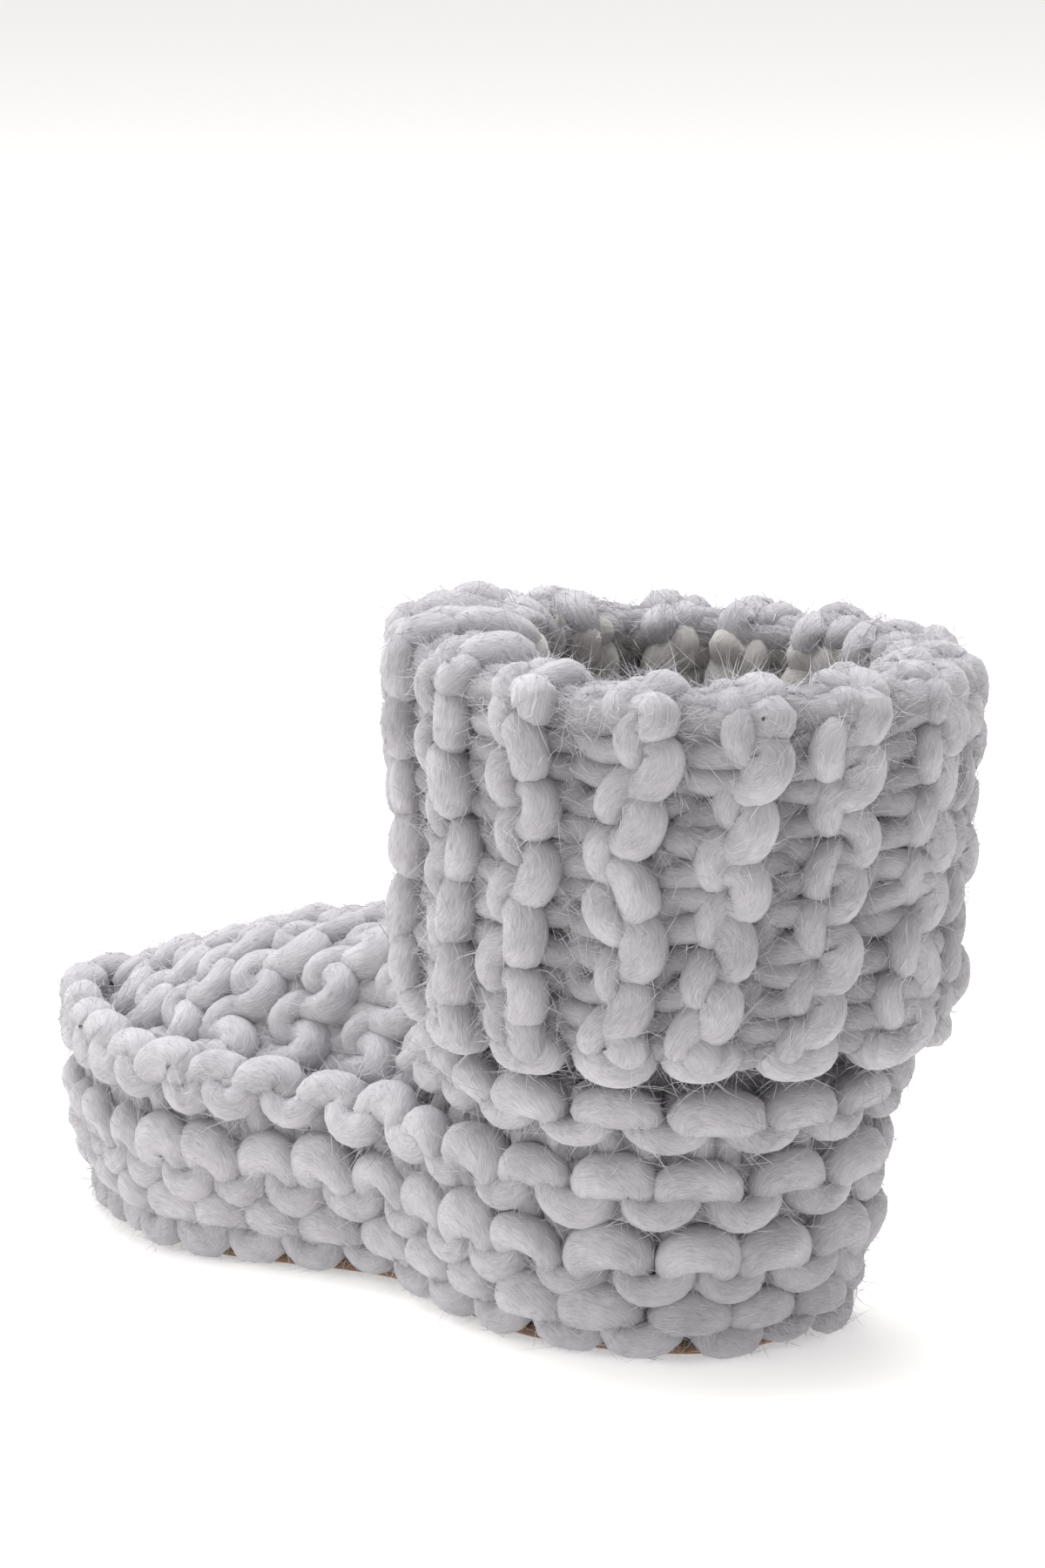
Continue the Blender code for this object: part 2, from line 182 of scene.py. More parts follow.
PATH_SAMPLES = 721            # of a stitch, to place its rings
OPEN_END_GAP = 0.01           # of a stitch, from an open course's end to the nearest ring
END_RINGS = 3                 # over which an open end is rounded
END_START = 0.4               # and the ring number of its first one
STREAK_TWIST = 0.36           # tangent of the fibres' slant to the yarn

# Yarn paths: radius, how far it runs sideways in its loops (shares of a stitch), half of
# its travel across the ridge (shares of a ridge), half of its travel through the fabric,
# dip of the legs behind the loops, how far the purl courses lie behind the knit ones, how
# much thinner the legs are, and the power that straightens the loops (1 is a plain cosine)
FOOT_YARN = dict(radius=2.50 * MM, spread=0.165, travel=0.51, through=1.60 * MM,
                 dip=0.05 * MM, back=0.15 * MM, legs=0.14, power=1.0)
VAMP_YARN = dict(radius=2.45 * MM, spread=0.140, travel=0.53, through=1.10 * MM,
                 dip=0.05 * MM, back=0.15 * MM, legs=0.10, power=1.0)
CUFF_YARN = dict(radius=2.40 * MM, spread=0.180, travel=0.38, through=1.80 * MM,
                 dip=0.05 * MM, back=0.50 * MM, legs=0.18, power=0.6)
PURL_DIP = 0.30 * MM          # how much further the purl courses' legs dip
STANDS_PROUD = 0.3 * MM       # how far the loops' heads stand over the solid's crests
BOTTOM_FLARE = 1.2 * MM       # the lowest stitches stand out over the suede's edge
BOTTOM_DROP = 2.2 * MM        # and hang down over it
BOTTOM_REACH = 0.6            # over this much of the lowest ridge
FLOOR_GAP = 0.25 * MM
LOOP_FATNESS = 0.15           # how much fatter the yarn is at a knit loop's head
BUMP_THINNESS = 0.12          # how much thinner at a purl loop's foot
LUMPS = 0.035                 # how far the roving is from round, as a share of its radius
UNEVEN_ALONG = 0.095          # random shares of a stitch and of a ridge, depth and radius
UNEVEN_ACROSS = 0.050
UNEVEN_TILT = 0.085
UNEVEN_DEPTH = 0.45 * MM
UNEVEN_RADIUS = 0.12
RIM_REACH = 9 * MM            # along the profile, where the fold flattens the ridges
RIM_FLATTENING = 0.48
RIM_FATNESS = 0.10            # how much fatter the yarn is there
RIDGE_DRIFT = 0.11            # of a ridge, how far the cuff's ridges wander from straight
RIDGE_DRIFT_LENGTH = 26 * MM  # and over what length
LATEST_PHASE = 0.9            # of a stitch, where a course up the cuff may start
COLLAR_EDGE = 1 * MM          # length at the collar's edges over which its normals stay the same
HEM_LOOP_RUN = 1.4 * MM       # middle of the hem's loops over the edge, and half their swing
HEM_LOOP_SWING = 1.2 * MM
HEM_START = 0.8 * MM          # where the cuff's courses come out of the hem's loops
HEM_SPREAD = 0.10             # how far its yarn runs sideways, as a share of a ridge
HEM_FATNESS = 0.08            # how much fatter it is at the loops' heads
HEM_UNEVEN_ACROSS = 0.06      # random share of a ridge, and random length
HEM_UNEVEN_RUN = 0.7 * MM

# Steps of the differences that give the normals, along a course and across it
SIDE_STEPS = (0.05, 0.04)
VAMP_STEPS = (0.02, 0.05)
COLLAR_STEPS = (0.02, 0.5 * MM)

# Seeds of the random draws
SIDE_SEED = 11
VAMP_SEED = 12
CUFF_SEED = 21
SHAFT_SEED = 22
HEM_SEED = 23
DRIFT_SEED = 40

# Loose fibres: how many there are and the seeds of their draws
FOOT_HAIRS = (44000, 31)
VAMP_HAIRS = (16000, 32)
CUFF_HAIRS = (60000, 33)
HAIR_WIDTH = 0.100 * MM
HAIR_WIDTHS = (0.6, 1.0)      # shares of it, and the share at the middle of a hair
HAIR_WAIST = 0.8
FUZZ_FACING = -0.2            # how far round the yarn they grow, as a cosine
LONG_HAIRS = 0.32             # share of long ones
SHORT_HAIR = (1.0, 2.6)       # shortest and longest, mm
LONG_HAIR = (2.6, 6.0)
HAIR_FLOOR = 0.1 * MM         # no hair reaches lower
HAIR_ROOT = 0.15 * MM         # depth of its root in the yarn
HAIR_SHIFT = 0.6 * MM         # most that its root is moved along the yarn
HAIR_SLANT = 0.5              # spreads of its slant off the yarn's run and of its bend
HAIR_BEND = 0.45
HAIR_LIFT = (0.12, 0.85)      # rise at its tip, as shares of its length
HAIR_RISE = 1.4               # power by which it rises

# Painted shade in the yarn's dips and crevices, set by the height attribute
DARKEST_HEIGHT = -5.2         # over the crests, mm: painted shade darkens the yarn below the lightest
LIGHTEST_HEIGHT = -0.4
PAINTED_CREVICE_SHADE = 0.34           # share of the colour left by the painted shade in the deepest crevices

# Wool skins behind the stitches, darker as painted shade: depth under the crests, columns and rows
BACKING_DEPTH = 5.2 * MM
COLLAR_BACKING_DEPTH = 4.8 * MM
VAMP_BACKING_DEPTH = 5.6 * MM
VAMP_BACKING_WIDTH = 0.78     # share of the vamp's
BACKING_SKIN = 0.6 * MM       # thickness
WALL_GRID = (144, 19)
HEEL_GRID = (73, 9)
VAMP_GRID = (41, 40)
COLLAR_GRID = (120, 50)
COLLAR_SKIN_START = 2 * MM    # length along the collar's profile
NECK_ROWS = ((3.0 * MM, 9.0 * MM), (6.5 * MM, 7.0 * MM))   # rise over the cuff's bottom, inset

# Sole and pad
PAD_COLUMNS = 180             # round their outline
PAD_RINGS = 8                 # from it to the middle line
SUEDE_EDGE = 0.5 * MM         # the suede's rounding
FLEECE_ROWS = (               # rise over the pad's bottom, and how far it is pulled in there
    (0.0 * MM, 0.0 * MM),
    (2.5 * MM, 0.0 * MM),
    (4.2 * MM, 1.0 * MM),
    (FLEECE_THICKNESS, 3.0 * MM),
)

# Finishes: noise scale, detail and roughness
FIBRE_STREAKS = (7.0, 5, 0.72)
BLOTCHES = (160, 2, 0.55)
FLUFF = (1500, 4, 0.65)
STREAK_STRETCH = 0.16         # scale of the streaks along the yarn, with 1 round it
BLOTCH_SHARE = 0.35           # of the colour, with the rest from the streaks
TONE_PLACES = (0.33, 0.5, 0.67)
MOTTLE_PLACES = (0.3, 0.7)
MOTTLE_DETAIL = (6, 0.7)
SHEEN_ROUGHNESS = 0.5
SHINE = 0.15
WOOL_SHEEN = 0.45
NAP_SHEEN = 0.3
FLUFF_SHARE = 0.6             # of the wool's relief
BUMP_STRENGTH = 0.6
WOOL_BUMP = 0.28 * MM


def through(places, table, column=1):
    """Smooth curve through a table's rows: cubic pieces with the slopes of the neighbours."""
    rows = np.array(table, float)
    x, y = rows[:, 0], rows[:, column]
    slope = np.gradient(y, x)
    places = np.clip(np.asarray(places, float), x[0], x[-1])
    i = np.clip(np.searchsorted(x, places, side="right") - 1, 0, len(x) - 2)
    step = x[i + 1] - x[i]
    t = (places - x[i]) / step
    start = (2 * t**3 - 3 * t**2 + 1) * y[i] + (t**3 - 2 * t**2 + t) * step * slope[i]
    end = (3 * t**2 - 2 * t**3) * y[i + 1] + (t**3 - t**2) * step * slope[i + 1]
    return start + end


def share_at(turn):
    """Share of the foot's length from the heel at an angle of the outline."""
    return (1 - np.cos(turn)) / 2


CORNER = np.arccos(2 * VAMP_BACK / FOOT_LENGTH)   # angle of the outline where the vamp ends
KNIT_BOTTOM = SOLE_THICKNESS + CLEARANCE
HEM_LIFT = INSTEP_HEIGHT + RIDGE_DEPTH / 2 + CLEARANCE - CUFF_BOTTOM


def outline(turn, inset):
    """Plan of the foot pulled in by an inset: half width times a power of the sine, less a
    bell at the waist of the arch side; y runs as a cosine."""
    share = share_at(turn)
    half = through(share, PLAN) / 2 - inset
    side = np.sin(turn)
    hollow = ARCH_HOLLOW * np.exp(-(((share - ARCH_PLACE) / ARCH_REACH) ** 2)) * (side > 0)
    roundness = HEEL_ROUNDNESS + (TOE_ROUNDNESS - HEEL_ROUNDNESS) * share
    x = half * np.sign(side) * np.abs(side) ** roundness - hollow * np.abs(side)
    return x, (FOOT_LENGTH / 2 - inset) * np.cos(turn)


def pull_in(turn, ridge):
    """How far the side wall's crest surface lies inside the outline."""
    reached = np.clip(share_at(turn) / share_at(CORNER), 0, 1)
    front = reached**2 * (3 - 2 * reached)
    at_heel, at_toe = (through(ridge, SIDE_ROWS, column) for column in (3, 4))
    return KNIT_WALL * (at_heel + (at_toe - at_heel) * front) - RIDGE_DEPTH / 2


def wall_point(turn, ridge, depth=0.0):
    """Point of the side wall, without its ridges, at a depth under their crests."""
    rise = share_at(turn) ** SEAM_CURVE
    heel = KNIT_BOTTOM + through(ridge, SIDE_ROWS, 1) * (HEEL_SEAM_HEIGHT - KNIT_BOTTOM)
    toe = KNIT_BOTTOM + through(ridge, SIDE_ROWS, 2) * (TOE_SEAM_HEIGHT - KNIT_BOTTOM)
    x, y = outline(turn, pull_in(turn, ridge) + depth)
    z = heel + (toe - heel) * rise - depth * np.clip(ridge - 2, 0, 1)
    return np.stack([x, y, z], -1)


def shaft_loop(turn, height, inset):
    """Rounded oval of the cuff and shaft at a height, pulled in by an inset."""
    rise = (height - CUFF_BOTTOM) / (RIM_HEIGHT - CUFF_BOTTOM)
    x = (CUFF_WIDTH / 2 - inset) * np.sign(np.sin(turn)) * np.abs(np.sin(turn)) ** ROUNDNESS
    middle = (CUFF_FRONT + CUFF_BACK) / 2 + CUFF_LEAN * rise
    y = middle + ((CUFF_BACK - CUFF_FRONT) / 2 - inset) * np.cos(turn)
    return np.stack([x, y, height + 0 * x], -1)


def hem_height(turn):
    """The cuff's bottom edge: level round the heel, lifted over the vamp."""
    return CUFF_BOTTOM + HEM_LIFT * np.clip(-np.cos(turn), 0, 1) ** HEM_CURVE


def rim_bell(turn):
    """Bell round the shaft, one at the front of the arch side, where the rim is fullest."""
    away = np.angle(np.exp(1j * (turn - RIM_RISE_TURN)))
    return np.exp(-((away / RIM_RISE_REACH) ** 2))


def rim_height(turn):
    """The rolled rim: level, with a soft rise where it is fullest."""
    return RIM_HEIGHT + RIM_RISE * rim_bell(turn)


def heel_point(turn, ridge, depth=0.0):
    """Point of the band from the foot's top edge (3) to the neck under the cuff (4)."""
    edge = wall_point(turn, 3 + 0 * turn, depth)
    round_shaft = turn * SHAFT_CORNER / CORNER
    front = np.clip(-np.cos(round_shaft), 0, 1)
    height = hem_height(round_shaft) - CLEARANCE - depth * front
    neck = shaft_loop(round_shaft, height, CUFF_WALL + CLEARANCE + depth)
    pulled = CUFF_BACK - CUFF_WALL - CLEARANCE - NECK_BACK
    neck[..., 1] -= pulled * np.clip(np.cos(round_shaft), 0, 1)
    share = np.clip(ridge - 3, 0, 1)[..., None]
    outward = np.stack([np.sin(round_shaft), np.cos(round_shaft), 0 * turn], -1)
    behind = np.clip(np.cos(round_shaft) - np.cos(SHAFT_CORNER), 0, 1)[..., None]
    bulge = (KNIT_WALL * HEEL_BULGE + RIDGE_DEPTH) * np.sin(np.pi * share)
    return edge + (neck - edge) * share + outward * behind * bulge


def side_surface(stitch, ridge):
    """Foot's wall by stitch number round it and by ridge number, the heel's band included.

    In front of the band nothing passes the seam's edge: from the easing's start the ridge
    number grows by a hyperbolic tangent.
    """
    turn = turn_of_stitch(stitch)
    from_heel = np.angle(np.exp(1j * turn))
    eased = SEAM_EASE + SEAM_GIVE * np.tanh((ridge - SEAM_EASE) / SEAM_GIVE)
    in_front = (ridge > SEAM_EASE) & (np.abs(from_heel) > CORNER)
    low = wall_point(turn, np.clip(np.where(in_front, eased, ridge), 0, 3))
    round_heel = np.clip(from_heel, -CORNER, CORNER)
    high = heel_point(round_heel, 3 + HEEL_BAND * np.clip(ridge - 3, 0, None))
    banded = (ridge > 3) & (np.abs(from_heel) <= CORNER)
    return np.where(banded[..., None], high, low)


def stitch_table():
    """Stitch numbers at angles round the outline: the run along it divided by a stitch's
    length, which eases from the heel's to the front's at the waist."""
    turns = np.linspace(0, TAU, 2001)
    points = wall_point(turns, np.full(2001, 1.5))
    step = np.linalg.norm(np.diff(points, axis=0), axis=1)
    start, end = STITCH_EASE
    ease = np.clip((share_at(turns[1:]) - start) / (end - start), 0, 1)
    length = HEEL_STITCH + (FRONT_STITCH - HEEL_STITCH) * ease * ease * (3 - 2 * ease)
    run = np.concatenate([[0], np.cumsum(step / length)])
    return run / run[-1] * SIDE_STITCHES, turns


STITCH_RUN, STITCH_TURN = stitch_table()
HALF_HEEL = int(np.interp(CORNER, STITCH_TURN, STITCH_RUN) + 0.5)   # stitches to the vamp


def turn_of_stitch(stitch):
    """Angle of the outline at a stitch number; it goes on past a whole round."""
    rounds = np.floor(stitch / SIDE_STITCHES)
    left = stitch - rounds * SIDE_STITCHES
    return np.interp(left, STITCH_RUN, STITCH_TURN) + rounds * TAU


def vamp_surface(across, ridge):
    """Vamp by place across it (-1 to 1 from +X to -X) and by ridge number from the toe.

    A row joins a point of the wall's top edge to its mirror point; its height is the
    border's plus an arch, one less a power of the share across.
    """
    y = np.clip(ridge, 0, None) * VAMP_RIDGE_PITCH - FOOT_LENGTH / 2
    inset = pull_in(np.pi, np.float64(3)) + RIDGE_DEPTH / 2
    turn = np.arccos(np.clip(y / (FOOT_LENGTH / 2 - inset), -1, 1))
    left = wall_point(turn, 3 + 0 * turn, RIDGE_DEPTH / 2)
    right = wall_point(-turn, 3 + 0 * turn, RIDGE_DEPTH / 2)
    place = np.clip(across, -1, 1)
    points = (left + right) / 2 - across[..., None] * (left - right) / 2
    arch = 1 - np.abs(place) ** VAMP_FLATNESS
    along = (left[..., 1] + FOOT_LENGTH / 2) / (VAMP_BACK + FOOT_LENGTH / 2)
    crest = TOE_SEAM_HEIGHT + through(along, VAMP_CREST) * (INSTEP_HEIGHT - TOE_SEAM_HEIGHT)
    climb = np.maximum(crest - left[..., 2], 0) + RIDGE_DEPTH / 2
    points[..., 2] += climb * arch
    points[..., 1] += VAMP_BOW * along * arch
    return points


def collar_table():
    """Lengths along the collar's profile at its rows, with the height in its own column."""
    rows = np.array(COLLAR_ROWS)
    flat = rows * (RIM_HEIGHT - CUFF_BOTTOM, CUFF_WALL)
    run = np.concatenate([[0], np.cumsum(np.linalg.norm(np.diff(flat, axis=0), axis=1))])
    return np.column_stack([run, rows])


COLLAR = collar_table()
RIM_RUN = COLLAR[RIM_ROW, 0]
LIP_RUN = COLLAR[LIP_ROW, 0]
COLLAR_END = COLLAR[-1, 0]


def ridge_turn(ridge):
    """Angle round the cuff of a ridge number."""
    return (RIDGE_PLACE - ridge) * TAU / CUFF_RIDGES


def cuff_lean(ridge, run):
    """How far the ridges lean along the cuff, in ridges: most at the hem behind the arch,
    where the knit is pulled askew, and nothing at the rim."""
    away = np.angle(np.exp(1j * (ridge_turn(ridge) - LEAN_TURN)))
    lean = LEAN_OF_ALL + LEAN_THERE * np.exp(-((away / LEAN_REACH) ** 2))
    return -lean * np.clip(1 - run / RIM_RUN, 0, 1)


def collar_surface(ridge, run):
    """Cuff and shaft's inside by ridge number round them and by length along the profile."""
    turn = ridge_turn(ridge)
    share, proud = through(run, COLLAR, 1), through(run, COLLAR, 2)
    hem = hem_height(turn)
    crest = RIDGE_DEPTH / 2 * np.clip(1.3 + proud, 0, 1)
    height = hem + share * (rim_height(turn) - hem) + np.minimum(run, 0)
    inside = np.clip((run - LIP_RUN) / ROLL_FADE, 0, 1)
    rolled = np.clip(-1 - proud, 0, 1) * (1 - inside * inside * (3 - 2 * inside))
    inset = -proud * CUFF_WALL - crest + RIM_ROLL * rim_bell(turn) * rolled
    return shaft_loop(turn, height, inset)


def normals(surface, a, b, steps, sign):
    """Unit normals of a surface by differences along its two parameters."""
    step_a, step_b = steps
    along = surface(a + step_a, b) - surface(a - step_a, b)
    across = surface(a, b + step_b) - surface(a, b - step_b)
    made = sign * np.cross(along, across)
    return made / np.maximum(np.linalg.norm(made, axis=-1, keepdims=True), 1e-12)


def wander(rng, t, amount, closed_at=None):
    """Small change from stitch to stitch: random values at half stitches, joined softly."""
    nodes = np.floor(t * 2).astype(int)
    count = nodes.max() + 3
    values = rng.uniform(-1, 1, count) * amount
    if closed_at is not None:
        values[int(2 * closed_at):] = values[:count - int(2 * closed_at)]
    part = t * 2 - nodes
    part = part * part * (3 - 2 * part)
    return values[nodes] * (1 - part) + values[nodes + 1] * part


def tilt(rng, t, amount, middle, closed_at=None):
    """Lean of each loop about its middle: a random share of its own times a sine."""
    number = np.floor(t - middle + 0.5).astype(int)
    if closed_at is not None:
        number = number % int(closed_at)
    values = rng.uniform(-1, 1, number.max() + 1) * amount
    return values[number] * np.sin(TAU * (t - middle))


def stitch_steps(yarn, length, ridge):
    """Places in a stitch (0 to 1) for the rings, closer where the path bends: equal parts
    of the run of its length plus the angle that it turns through."""
    t = np.linspace(0, 1, PATH_SAMPLES)
    x = length * (t + yarn["spread"] * np.sin(2 * TAU * t))
    y = -ridge * yarn["travel"] * np.cos(TAU * t)
    step = np.hypot(np.diff(x), np.diff(y))
    bend = np.abs(np.diff(np.unwrap(np.arctan2(np.diff(y), np.diff(x))), append=0))
    run = np.concatenate([[0], np.cumsum(step / step.sum() + bend / bend[:-1].sum())])
    return np.interp(np.arange(STEPS_PER_STITCH) / STEPS_PER_STITCH * run[-1], run, t)


def yarn_course(rng, stitches, crest, knit, yarn, closed, steps, phase=0.0):
    """Path of one course in the knit, as place along it, ridge number, depth and radius.

    With t in stitches, the yarn runs along by t plus a sine of twice its turn, across by
    less a cosine to a power, and through the fabric by a cosine: a knit course comes
    forward at its heads, above the ridge's crest, and a purl course at its feet, below it.
    An open course starts at a phase of its stitch.
    """
    t = (np.arange(int(np.ceil(stitches + phase)) + 1)[:, None] + steps).ravel()
    inner = t[(t > phase + OPEN_END_GAP) & (t < phase + stitches - OPEN_END_GAP)]
    t = np.append(0.0, inner) if closed else np.concatenate([[phase], inner, [phase + stitches]])
    ends = stitches if closed else None
    turn = TAU * t
    along = t - phase + yarn["spread"] * np.sin(2 * turn) + wander(rng, t, UNEVEN_ALONG, ends)
    side = -COURSE_SHIFT if knit else COURSE_SHIFT
    swing = np.sign(np.cos(turn)) * np.abs(np.cos(turn)) ** yarn["power"]
    across = crest + side - yarn["travel"] * swing + wander(rng, t, UNEVEN_ACROSS, ends)
    across = across + tilt(rng, t, UNEVEN_TILT, 0.5 if knit else 0.0, ends)
    forward = -np.cos(turn) if knit else np.cos(turn)
    dip, back = (yarn["dip"], 0) if knit else (yarn["dip"] + PURL_DIP, yarn["back"])
    depth = yarn["through"] * forward + dip * np.cos(2 * turn) - back
    depth = depth + wander(rng, t, UNEVEN_DEPTH, ends)
    front = np.clip(forward, 0, 1)
    grown = LOOP_FATNESS if knit else -BUMP_THINNESS
    radius = yarn["radius"] * (1 + grown * front - yarn["legs"] * (1 - np.abs(forward)))
    radius = radius * (1 + wander(rng, t, UNEVEN_RADIUS, ends))
    return along, across, depth, radius


def tube(centres, reference, radius, closed):
    """Rings of points round a path, one more for every step, with the fibres' own
    coordinates: cosine and sine of the angle less the twist, times the radius, and length.
    """
    if closed:
        tangent = np.roll(centres, -1, 0) - np.roll(centres, 1, 0)
    else:
        tangent = np.gradient(centres, axis=0)
    tangent /= np.linalg.norm(tangent, axis=1, keepdims=True)
    up = reference - (reference * tangent).sum(1, keepdims=True) * tangent
    up /= np.linalg.norm(up, axis=1, keepdims=True)
    side = np.cross(tangent, up)
    angle = np.arange(YARN_SIDES) * TAU / YARN_SIDES
    cosine, sine = np.cos(angle)[None, :, None], np.sin(angle)[None, :, None]
    ring = cosine * up[:, None] + sine * side[:, None]
    step = np.linalg.norm(np.diff(centres, axis=0), axis=1)
    length = np.concatenate([[0], np.cumsum(step)])
    twist = length / radius.mean() * STREAK_TWIST
    if closed:
        whole = length[-1] + np.linalg.norm(centres[0] - centres[-1])
        rounds = np.round(whole / radius.mean() * STREAK_TWIST / TAU)
        twist = length / whole * rounds * TAU
        length = np.abs(length - whole / 2)
    spun = angle[None] - twist[:, None]
    lumps = LUMPS * (np.sin(2 * spun) + np.sin(3 * spun + 2 * twist[:, None]))
    points = centres[:, None] + ring * (radius[:, None] * (1 + lumps))[..., None]
    fibre = np.stack([np.cos(spun), np.sin(spun), 0 * spun], -1) * (radius.mean() / MM)
    fibre[..., 2] = length[:, None] / MM
    return points, ring, fibre, tangent


class Yarn:
    """Tubes of yarn gathered into one piece, with what the fuzz needs to grow on them."""

    def __init__(self):
        self.points, self.quads, self.fibres, self.heights = [], [], [], []
        self.roots, self.count = [], 0

    def add(self, centres, reference, radius, height, closed=False):
        """Append one tube, whose middle lies at a height over the crests; open tubes get
        rounded ends by shrinking rings."""
        if not closed:
            from_end = np.minimum(np.arange(len(radius)), np.arange(len(radius))[::-1])
            radius = radius * np.clip((from_end + END_START) / END_RINGS, 0, 1) ** 0.5
        points, ring, fibre, tangent = tube(centres, reference, radius, closed)
        rows, sides = points.shape[:2]
        number = self.count + np.arange(rows * sides).reshape(rows, sides)
        lower = number if closed else number[:-1]
        upper = np.roll(number, -1, 0) if closed else number[1:]
        quads = np.stack([lower, np.roll(lower, -1, 1), np.roll(upper, -1, 1), upper], -1)
        self.points.append(points.reshape(-1, 3))
        self.quads.append(quads.reshape(-1, 4))
        if not closed:
            strip = np.arange(sides // 2 - 1)
            lid = np.stack([strip, strip + 1, sides - 2 - strip, sides - 1 - strip], -1)
            self.quads += [number[0][lid[:, ::-1]], number[-1][lid]]
        self.fibres.append(fibre.reshape(-1, 3))
        # Height over the crests at each point, which sets the yarn's painted shade
        facing = (ring * reference[:, None]).sum(-1)
        self.heights.append(((height[:, None] + radius[:, None] * facing) / MM).ravel())
        self.roots.append((points, ring, tangent, reference))
        self.count += rows * sides


def new_mesh(name, points, faces, corners):
    """Mesh of an array of points and faces of one number of corners."""
    mesh = bpy.data.meshes.new(name)
    mesh.vertices.add(len(points))
    mesh.vertices.foreach_set("co", np.ascontiguousarray(points, np.float32).ravel())
    mesh.loops.add(len(faces) * corners)
    mesh.loops.foreach_set("vertex_index", np.ascontiguousarray(faces, np.int32).ravel())
    mesh.polygons.add(len(faces))
    mesh.polygons.foreach_set("loop_start", np.arange(len(faces), dtype=np.int32) * corners)
    mesh.update(calc_edges=True)
    mesh.shade_smooth()
    return mesh


def new_piece(name, mesh, finish, slot, *stands_for):
    """Object of a mesh, with its finish, its body and the solids it stands for; its slot is not
    used.
    """
    mesh.materials.append(finish)
    piece = bpy.data.objects.new(name, mesh)
    bpy.context.scene.collection.objects.link(piece)
    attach(piece, "root")
    if stands_for:
        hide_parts(*stands_for)
    return piece


def into_frame(points):
    """Move points from the foot's own origin to the shared frame's."""
    return points - np.array([SHIFT_X, SHIFT_Y, 0])


def yarn_piece(name, yarn, finish, slot, *stands_for):
    """Piece of all tubes of a yarn, with fibre and height attributes."""
    points = into_frame(np.concatenate(yarn.points))
    mesh = new_mesh(name, points, np.concatenate(yarn.quads), 4)
    fibre = mesh.attributes.new("fibre", "FLOAT_VECTOR", "POINT")
    fibre.data.foreach_set("vector", np.concatenate(yarn.fibres).astype(np.float32).ravel())
    height = mesh.attributes.new("height", "FLOAT", "POINT")
    height.data.foreach_set("value", np.concatenate(yarn.heights).astype(np.float32))
    return new_piece(name, mesh, finish, slot, *stands_for)


def knit_side():
    """Six courses round the foot and two round the heel."""
    rng = np.random.default_rng(SIDE_SEED)
    yarn = Yarn()
    steps = stitch_steps(FOOT_YARN, HEEL_STITCH, SIDE_PITCH)
    for crest in SIDE_RIDGES + (HEEL_RIDGE,):
        heel_only = crest == HEEL_RIDGE
        stitches = 2 * HALF_HEEL if heel_only else SIDE_STITCHES
        start = (-HALF_HEEL if heel_only else 0) - RIDGE_STAGGER * crest
        for knit in (True, False):
            along, across, depth, radius = yarn_course(
                rng, stitches, crest, knit, FOOT_YARN, not heel_only, steps)
            across = np.clip(across, *SIDE_REACH)
            along = along + start
            surface = side_surface(along, across)
            out = normals(side_surface, along, across, SIDE_STEPS, -1)
            height = depth - FOOT_YARN["radius"] - FOOT_YARN["through"] + STANDS_PROUD
            centres = surface + out * height[:, None]
            low = np.clip(1 - across / BOTTOM_REACH, 0, 1)[:, None]
            centres += out * low * BOTTOM_FLARE
            centres[:, 2] -= BOTTOM_DROP * low[:, 0] * (depth > 0)
            centres[:, 2] = np.maximum(centres[:, 2], radius + FLOOR_GAP)
            yarn.add(centres, out, radius, height, closed=not heel_only)
    return yarn


def vamp_run(ridge):
    """Lengths over the vamp's arch from side to side at a ridge, and the places there."""
    places = np.linspace(-VAMP_OVERLAP, VAMP_OVERLAP, 401)
    points = vamp_surface(places, np.full(401, ridge))
    step = np.linalg.norm(np.diff(points, axis=0), axis=1)
    return np.concatenate([[0], np.cumsum(step)]), places


def knit_vamp():
    """Courses across the vamp, from the toe to the instep, their stitches even over the
    arch, and the strands under its edges. The edges' lift grows by the fourth power of the
    place across."""
    rng = np.random.default_rng(VAMP_SEED)
    yarn = Yarn()
    steps = stitch_steps(VAMP_YARN, VAMP_STITCH, VAMP_RIDGE_PITCH)
    for crest in np.arange(VAMP_RIDGES) + 0.5:
        run, places = vamp_run(crest)
        stitches = max(VAMP_FEWEST, int(np.round(run[-1] / VAMP_STITCH)))
        for knit in (True, False):
            along, across, depth, radius = yarn_course(
                rng, stitches, crest, knit, VAMP_YARN, False, steps)
            place = np.interp(along / stitches * run[-1], run, places)
            across = np.clip(across, TOE_START, VAMP_END)
            surface = vamp_surface(place, across)
            level = np.clip(place, -VAMP_LAST_NORMAL, VAMP_LAST_NORMAL)
            out = normals(vamp_surface, level, across, VAMP_STEPS, -1)
            height = depth - VAMP_YARN["radius"] - VAMP_YARN["through"] - VAMP_SINK
            height += VAMP_EDGE_LIFT * np.clip(np.abs(place), 0, 1) ** 4
            height -= TOE_SINK * np.clip(1 - across / TOE_SINK_REACH, 0, 1)
            yarn.add(surface + out * height[:, None], out, radius, height)
    ridge = np.linspace(TOE_START, LINING_END, LINING_RINGS)
    radius = np.full(LINING_RINGS, LINING_RADIUS)
    height = np.full(LINING_RINGS, LINING_HEIGHT)
    for side in LINING_PLACES:
        place = np.full(LINING_RINGS, side)
        out = normals(vamp_surface, place, ridge, VAMP_STEPS, -1)
        yarn.add(vamp_surface(place, ridge) - out * LINING_DEPTH, out, radius, height)
    return yarn


